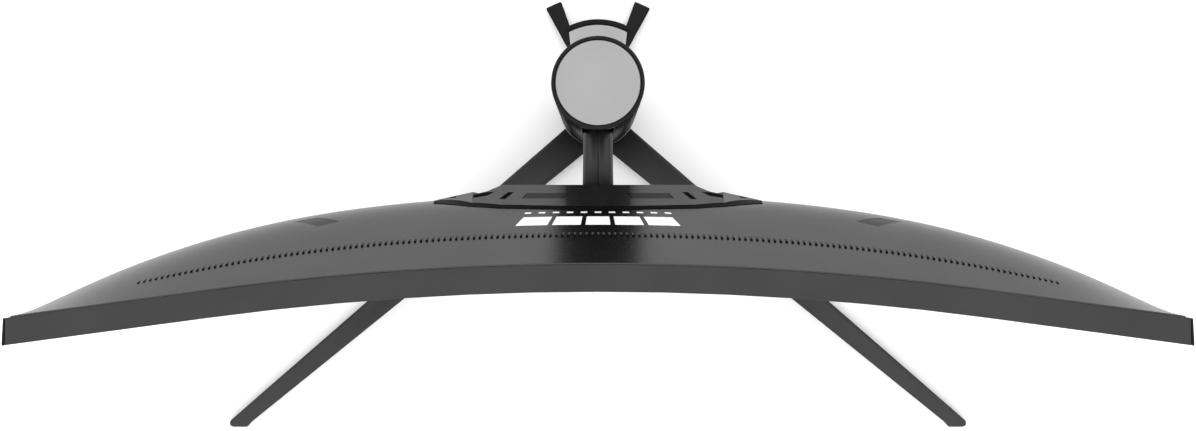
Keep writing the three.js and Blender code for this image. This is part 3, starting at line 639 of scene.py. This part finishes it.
def build_cover_screws():
    """Countersunk cross-head screws, flush with the cover."""
    for index, (x, z) in enumerate(COVER_SCREWS):
        y = cover_y(x, z)
        rings = [(SCREW_TOP_RADIUS, y + SCREW_RISE), (SCREW_RADIUS, y), (SCREW_RADIUS, y - SCREW_SINK)]
        head = many(f"cover_screw_{index + 1}", [stack_y(x, z, rings)])
        for wide, tall in ((CROSS_LONG, CROSS_SHORT), (CROSS_SHORT, CROSS_LONG)):
            cross = [(x - wide * MM, z - tall * MM), (x + wide * MM, z - tall * MM),
                     (x + wide * MM, z + tall * MM), (x - wide * MM, z + tall * MM)]
            carve(head, many("cross_cutter", [prism_y(cross, y - CROSS_DEPTH, y + CROSS_TOP)]))
        smooth(head, 30)
        place(head, "head", "steel", "black_screw")


GRILLE_X, GRILLE_Z = 0.206, 0.152  # the middle of the lowest row
GRILLE_ROWS, GRILLE_COLUMNS = 4, 9
GRILLE_PITCH = 4.6
GRILLE_HALF_WIDTH, GRILLE_HALF_HEIGHT = 1.5 * MM, 0.6 * MM
GRILLE_SINK, GRILLE_RISE = 0.6 * MM, 0.05 * MM


def build_speaker_grilles():
    """Rows of short slots low on the cover, in front of the two speakers, drawn as near-black inlays: painted
    shade in place of open slots.
    """
    for side, name in ((-1, "speaker_grille_left"), (1, "speaker_grille_right")):
        parts = []
        for row in range(GRILLE_ROWS):
            for column in range(GRILLE_COLUMNS):
                x = side * GRILLE_X + (column - GRILLE_COLUMNS // 2) * GRILLE_PITCH * MM
                z = GRILLE_Z + row * GRILLE_PITCH * MM
                y = cover_y(x, z)
                outline = [(x - GRILLE_HALF_WIDTH, z - GRILLE_HALF_HEIGHT),
                           (x + GRILLE_HALF_WIDTH, z - GRILLE_HALF_HEIGHT),
                           (x + GRILLE_HALF_WIDTH, z + GRILLE_HALF_HEIGHT),
                           (x - GRILLE_HALF_WIDTH, z + GRILLE_HALF_HEIGHT)]
                parts.append(prism_y(outline, y - GRILLE_SINK, y + GRILLE_RISE))
        place(many(name, parts), "head", "black_plastic", "painted_shade")


# ---------------------------------------------------------------- generic printed mark
MARK_BLOCKS = [(-43, -26.5), (-24, -9), (-6.5, 6.5), (9, 24), (26.5, 43)]  # millimetres along X
MARK_BOTTOM, MARK_TOP = 437.5, 446.2
MARK_DASHES = 11
DASH_SPAN = 37  # from the middle to the last dash's middle
DASH_HALF = 1.7
DASH_BOTTOM, DASH_TOP = 431.6, 433.0
MARK_FAN = 0.011  # how much narrower a shape gets towards its bottom, per millimetre
MARK_RISE, MARK_THICKNESS = 0.12 * MM, 0.1 * MM


def build_mark():
    """A row of plain slanted white blocks and a dashed line below it, in place of any lettering."""
    shapes = [("block", x0, x1, MARK_BOTTOM, MARK_TOP) for x0, x1 in MARK_BLOCKS]
    for i in range(MARK_DASHES):
        x = -DASH_SPAN + 2 * DASH_SPAN * i / (MARK_DASHES - 1)
        shapes.append(("dash", x - DASH_HALF, x + DASH_HALF, DASH_BOTTOM, DASH_TOP))
    for index, (kind, x0, x1, z0, z1) in enumerate(shapes):
        fan = 1 - (z1 - z0) * MARK_FAN
        outline = [(x0 * MM, z1 * MM), (x1 * MM, z1 * MM), (x1 * fan * MM, z0 * MM), (x0 * fan * MM, z0 * MM)]
        panel_behind(f"mark_{kind}_{index + 1}", outline, -MARK_RISE, MARK_THICKNESS, "cover_plastic",
                     "white_print")


# ---------------------------------------------------------------- tail insert
TAIL_RADIUS = 0.0381
TAIL_TAPER = 0.9  # the front edge's width as a share of the rear's
TAIL_DISH = 1.0 * MM
TAIL_BELOW = 0.2 * MM  # how far the plate reaches below the CAD piece


def build_tail_insert():
    """A silver plate with a round rear edge, dished in the middle and rising to its sides."""
    low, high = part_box("tail_insert")
    half, centre_y = high.x, high.y - TAIL_RADIUS
    columns, rows = 40, 14
    vertices = []
    for top in (False, True):
        for i in range(columns + 1):
            x = half * (2 * i / columns - 1)
            back = centre_y + math.sqrt(TAIL_RADIUS**2 - x**2)
            dish = TAIL_DISH * (1 - (abs(x) / half) ** 6)
            for j in range(rows + 1):
                t = j / rows
                y = low.y + (back - low.y) * t
                px = x * (TAIL_TAPER + (1 - TAIL_TAPER) * t)
                vertices.append((px, y, high.z - dish if top else low.z - TAIL_BELOW))
    item_rows = rows + 1
    count = (columns + 1) * item_rows
    faces = []
    for i in range(columns):
        for j in range(rows):
            a, b = i * item_rows + j, (i + 1) * item_rows + j
            faces.append((a, a + 1, b + 1, b))
            faces.append((count + a, count + b, count + b + 1, count + a + 1))
    for i in range(columns):
        a, b = i * item_rows, (i + 1) * item_rows
        faces.append((a, b, count + b, count + a))
        faces.append((a + rows, count + a + rows, count + b + rows, b + rows))
    for j in range(rows):
        faces.append((j, count + j, count + j + 1, j + 1))
        a = columns * item_rows + j
        faces.append((a, a + 1, count + a + 1, count + a))
    item = make_object("tail_insert_body", vertices, faces)
    smooth(item, 40)
    # The tail insert takes a lighter copy of the silver trim: painted light.
    place(item, "base", "silver_trim", "silver_painted_light", ["tail_insert"])


# ---------------------------------------------------------------- column
STRIP_DEGREES = 45  # from the front, on each side
STRIP_HALF_WIDTH = 1.3 * MM
STRIP_RISE, STRIP_SINK = 0.12 * MM, 0.3 * MM
STRIP_END_GAP = 1 * MM


def build_column_strips():
    """A near-black strip over each seam between the column's front and rear shells: painted shade of the
    seam's gap.
    """
    low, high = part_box("column_rear")
    foot_low, foot_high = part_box("column_foot")
    radius = foot_high.x
    centre_y = (foot_low.y + foot_high.y) / 2
    half_angle = STRIP_HALF_WIDTH / radius
    for side, name in ((-1, "column_strip_left"), (1, "column_strip_right")):
        middle = math.radians(-90 + side * STRIP_DEGREES)
        angles = steps(middle - half_angle, middle + half_angle, 6)
        outline = [(r * math.cos(a), centre_y + r * math.sin(a))
                   for r, row in ((radius + STRIP_RISE, angles), (radius - STRIP_SINK, angles[::-1]))
                   for a in row]
        n = len(outline)
        vertices = [(x, y, z) for z in (low.z + STRIP_END_GAP, high.z - STRIP_END_GAP) for x, y in outline]
        faces = [tuple(range(n)), tuple(range(2 * n - 1, n - 1, -1))]
        faces += [(i, (i + 1) % n, n + (i + 1) % n, n + i) for i in range(n)]
        item = many(name, [(vertices, faces)])
        smooth(item, 30)
        place(item, "column", "black_plastic", "painted_shade")


# ---------------------------------------------------------------- front
POWER_LIGHT_X = 0.27
LENS_RADIUS, LENS_TOP_RADIUS = 1.3, 0.9  # millimetres


def build_power_light():
    """A small round lens in the chin, right of the middle."""
    low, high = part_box("bottom_bezel")
    z = (low.z + high.z) / 2
    y = low.y + sag(low.x) - sag(POWER_LIGHT_X)
    rings = [(LENS_RADIUS, y + 0.6 * MM), (LENS_RADIUS, y - 0.05 * MM), (LENS_TOP_RADIUS, y - 0.25 * MM)]
    lens = many("power_light", [stack_y(POWER_LIGHT_X, z, rings)])
    smooth(lens, 30)
    place(lens, "head", "acrylic")


# ---------------------------------------------------------------- stage, light and camera
FLOOR_HALF = 4
FLOOR_DROP = 0.0002  # how far the floor lies below the pads
FLOOR_GLOW = 0.18


def build_stage():
    """A plain, pale floor that glows a little, so that it comes out white."""
    corners = [(x * FLOOR_HALF, y * FLOOR_HALF, 0) for x, y in ((-1, -1), (1, -1), (1, 1), (-1, 1))]
    floor = make_object("floor", corners, [(0, 1, 2, 3)])
    floor.location.z = -FLOOR_DROP
    material, nodes, links = new_material("floor_white")
    shader = nodes["Principled BSDF"]
    shader.inputs["Roughness"].default_value = 0.9
    shader.inputs["Specular IOR Level"].default_value = 0.1
    noise = object_noise(nodes, links, 3.0)
    links.new(ramp(nodes, links, noise, grey(0.94), grey(0.96)), shader.inputs["Base Color"])
    shader.inputs["Emission Color"].default_value = (1, 1, 1, 1)
    shader.inputs["Emission Strength"].default_value = FLOOR_GLOW
    floor.data.materials.append(material)


SKY_LOW, SKY_HIGH = 0.45, 0.92  # the sky's strength at the horizon and high up
SKY_TOP = 0.8  # the height in the sky from which it is at full strength, 1 being straight up


def build_world():
    world = bpy.data.worlds.new("studio")
    bpy.context.scene.world = world
    world.use_nodes = True
    nodes, links = world.node_tree.nodes, world.node_tree.links
    coord = nodes.new("ShaderNodeTexCoord")
    split = nodes.new("ShaderNodeSeparateXYZ")
    links.new(coord.outputs["Generated"], split.inputs["Vector"])
    sky = nodes.new("ShaderNodeMapRange")
    sky.inputs["From Min"].default_value = 0.0
    sky.inputs["From Max"].default_value = SKY_TOP
    sky.inputs["To Min"].default_value = SKY_LOW
    sky.inputs["To Max"].default_value = SKY_HIGH
    links.new(split.outputs["Z"], sky.inputs["Value"])
    links.new(sky.outputs["Result"], nodes["Background"].inputs["Strength"])
    nodes["Background"].inputs["Color"].default_value = (1, 1, 1, 1)


# Each softbox: its name, its place, what it points at, its size and its power.
SOFTBOXES = [
    ("rear_softbox", (0, 2.4, 1.1), (0, 0, 0.35), (3.0, 1.4), 5),
    ("front_softbox", (0, -2.6, 1.3), (0, 0, 0.3), (3.0, 1.4), 8),
]


def area_light(name, location, target, size, power):
    light = bpy.data.lights.new(name, "AREA")
    light.shape = "RECTANGLE"
    light.size, light.size_y = size
    light.energy = power
    item = bpy.data.objects.new(name, light)
    bpy.context.scene.collection.objects.link(item)
    item.location = location
    item.rotation_euler = (Vector(target) - Vector(location)).to_track_quat("-Z", "Y").to_euler()
    return item


OVERHEAD_HEIGHT = 1.7
OVERHEAD_SIZE = (1.0, 1.0)
OVERHEAD_POWER = 23


def overhead_light():
    """A large soft light straight above, which lights matt surfaces but isn't mirrored in glossy ones."""
    item = area_light("overhead", (0, 0, OVERHEAD_HEIGHT), (0, 0, 0), OVERHEAD_SIZE, OVERHEAD_POWER)
    item.visible_glossy = False


CAMERA_HEIGHT = 2.419
CAMERA_LENS = 113.8  # millimetres, as is the sensor's width
SENSOR_WIDTH = 36


def build_camera():
    """Straight above the object's middle, looking down."""
    camera = bpy.data.cameras.new("camera")
    camera.lens = CAMERA_LENS
    camera.sensor_width = SENSOR_WIDTH
    item = bpy.data.objects.new("camera", camera)
    bpy.context.scene.collection.objects.link(item)
    item.location = (0, 0, CAMERA_HEIGHT)
    bpy.context.scene.camera = item


bpy.context.scene.view_settings.view_transform = "Standard"
build_camera()
build_stage()
build_world()
overhead_light()
for softbox in SOFTBOXES:
    area_light(*softbox)
finish_cad_nodes()
build_rear_cover()
build_cover_details()
build_mark()
build_tail_insert()
build_column_strips()
build_power_light()
